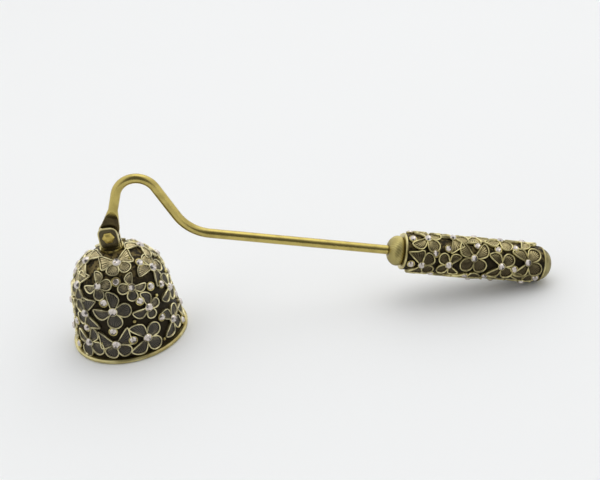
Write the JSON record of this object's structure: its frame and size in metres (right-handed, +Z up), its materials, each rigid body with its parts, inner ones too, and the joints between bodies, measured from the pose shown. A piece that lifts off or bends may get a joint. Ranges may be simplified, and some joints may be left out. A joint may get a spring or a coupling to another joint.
{
  "type": "candle snuffer",
  "caption": "Candle snuffer: a brass bell hinged below a gooseneck rod, with a straight tubular handle; bell and handle are covered in butterflies set with clear stones.",
  "frame": {"origin": "centre of the bell's mouth, on the surface that the snuffer rests on", "axes": "+Z up along the bell's axis, +X from the bell towards the handle, the hinge pin along Y"},
  "size_m": [0.1708, 0.04, 0.0592],
  "materials": {
    "antique_brass": "satin, aged",
    "dark_brass": "dark patina",
    "bright_brass": "worn bright",
    "plain_brass": "plain turned",
    "butterfly_brass": "cast, bright outlines over dark cells",
    "clear_stone": "faceted and foil backed"
  },
  "bodies": {
    "handle": {"rod": "antique_brass", "handle_ferrule": "antique_brass", "handle_front_ring": "bright_brass", "handle_front_bush": "plain_brass", "handle_sleeve": "dark_brass", "handle_rear_bush": "plain_brass", "handle_rear_ring": "bright_brass", "handle_end_cap": "antique_brass", "handle_butterflies": "butterfly_brass", "handle_butterfly_stones": "clear_stone", "handle_stone_cups": "antique_brass", "handle_accent_stones": "clear_stone"},
    "bell": {"bell_shell": "dark_brass", "bell_rim": "bright_brass", "bell_yoke": "antique_brass", "yoke_washer": "plain_brass", "yoke_nut": "plain_brass", "hinge_pin": "bright_brass", "bell_crown_butterflies": "butterfly_brass", "bell_shoulder_butterflies": "butterfly_brass", "bell_middle_butterflies": "butterfly_brass", "bell_mouth_butterflies": "butterfly_brass", "bell_butterfly_stones": "clear_stone", "bell_stone_cups": "antique_brass", "bell_accent_stones": "clear_stone", "bell_beads": "antique_brass"}
  },
  "joints": [
    {"name": "bell_swing", "type": "hinge", "parent": "handle", "child": "bell", "pos_m": [0, 0, 0.0384], "axis": [0, 1, 0], "range_deg": [-40, 80]}
  ]
}
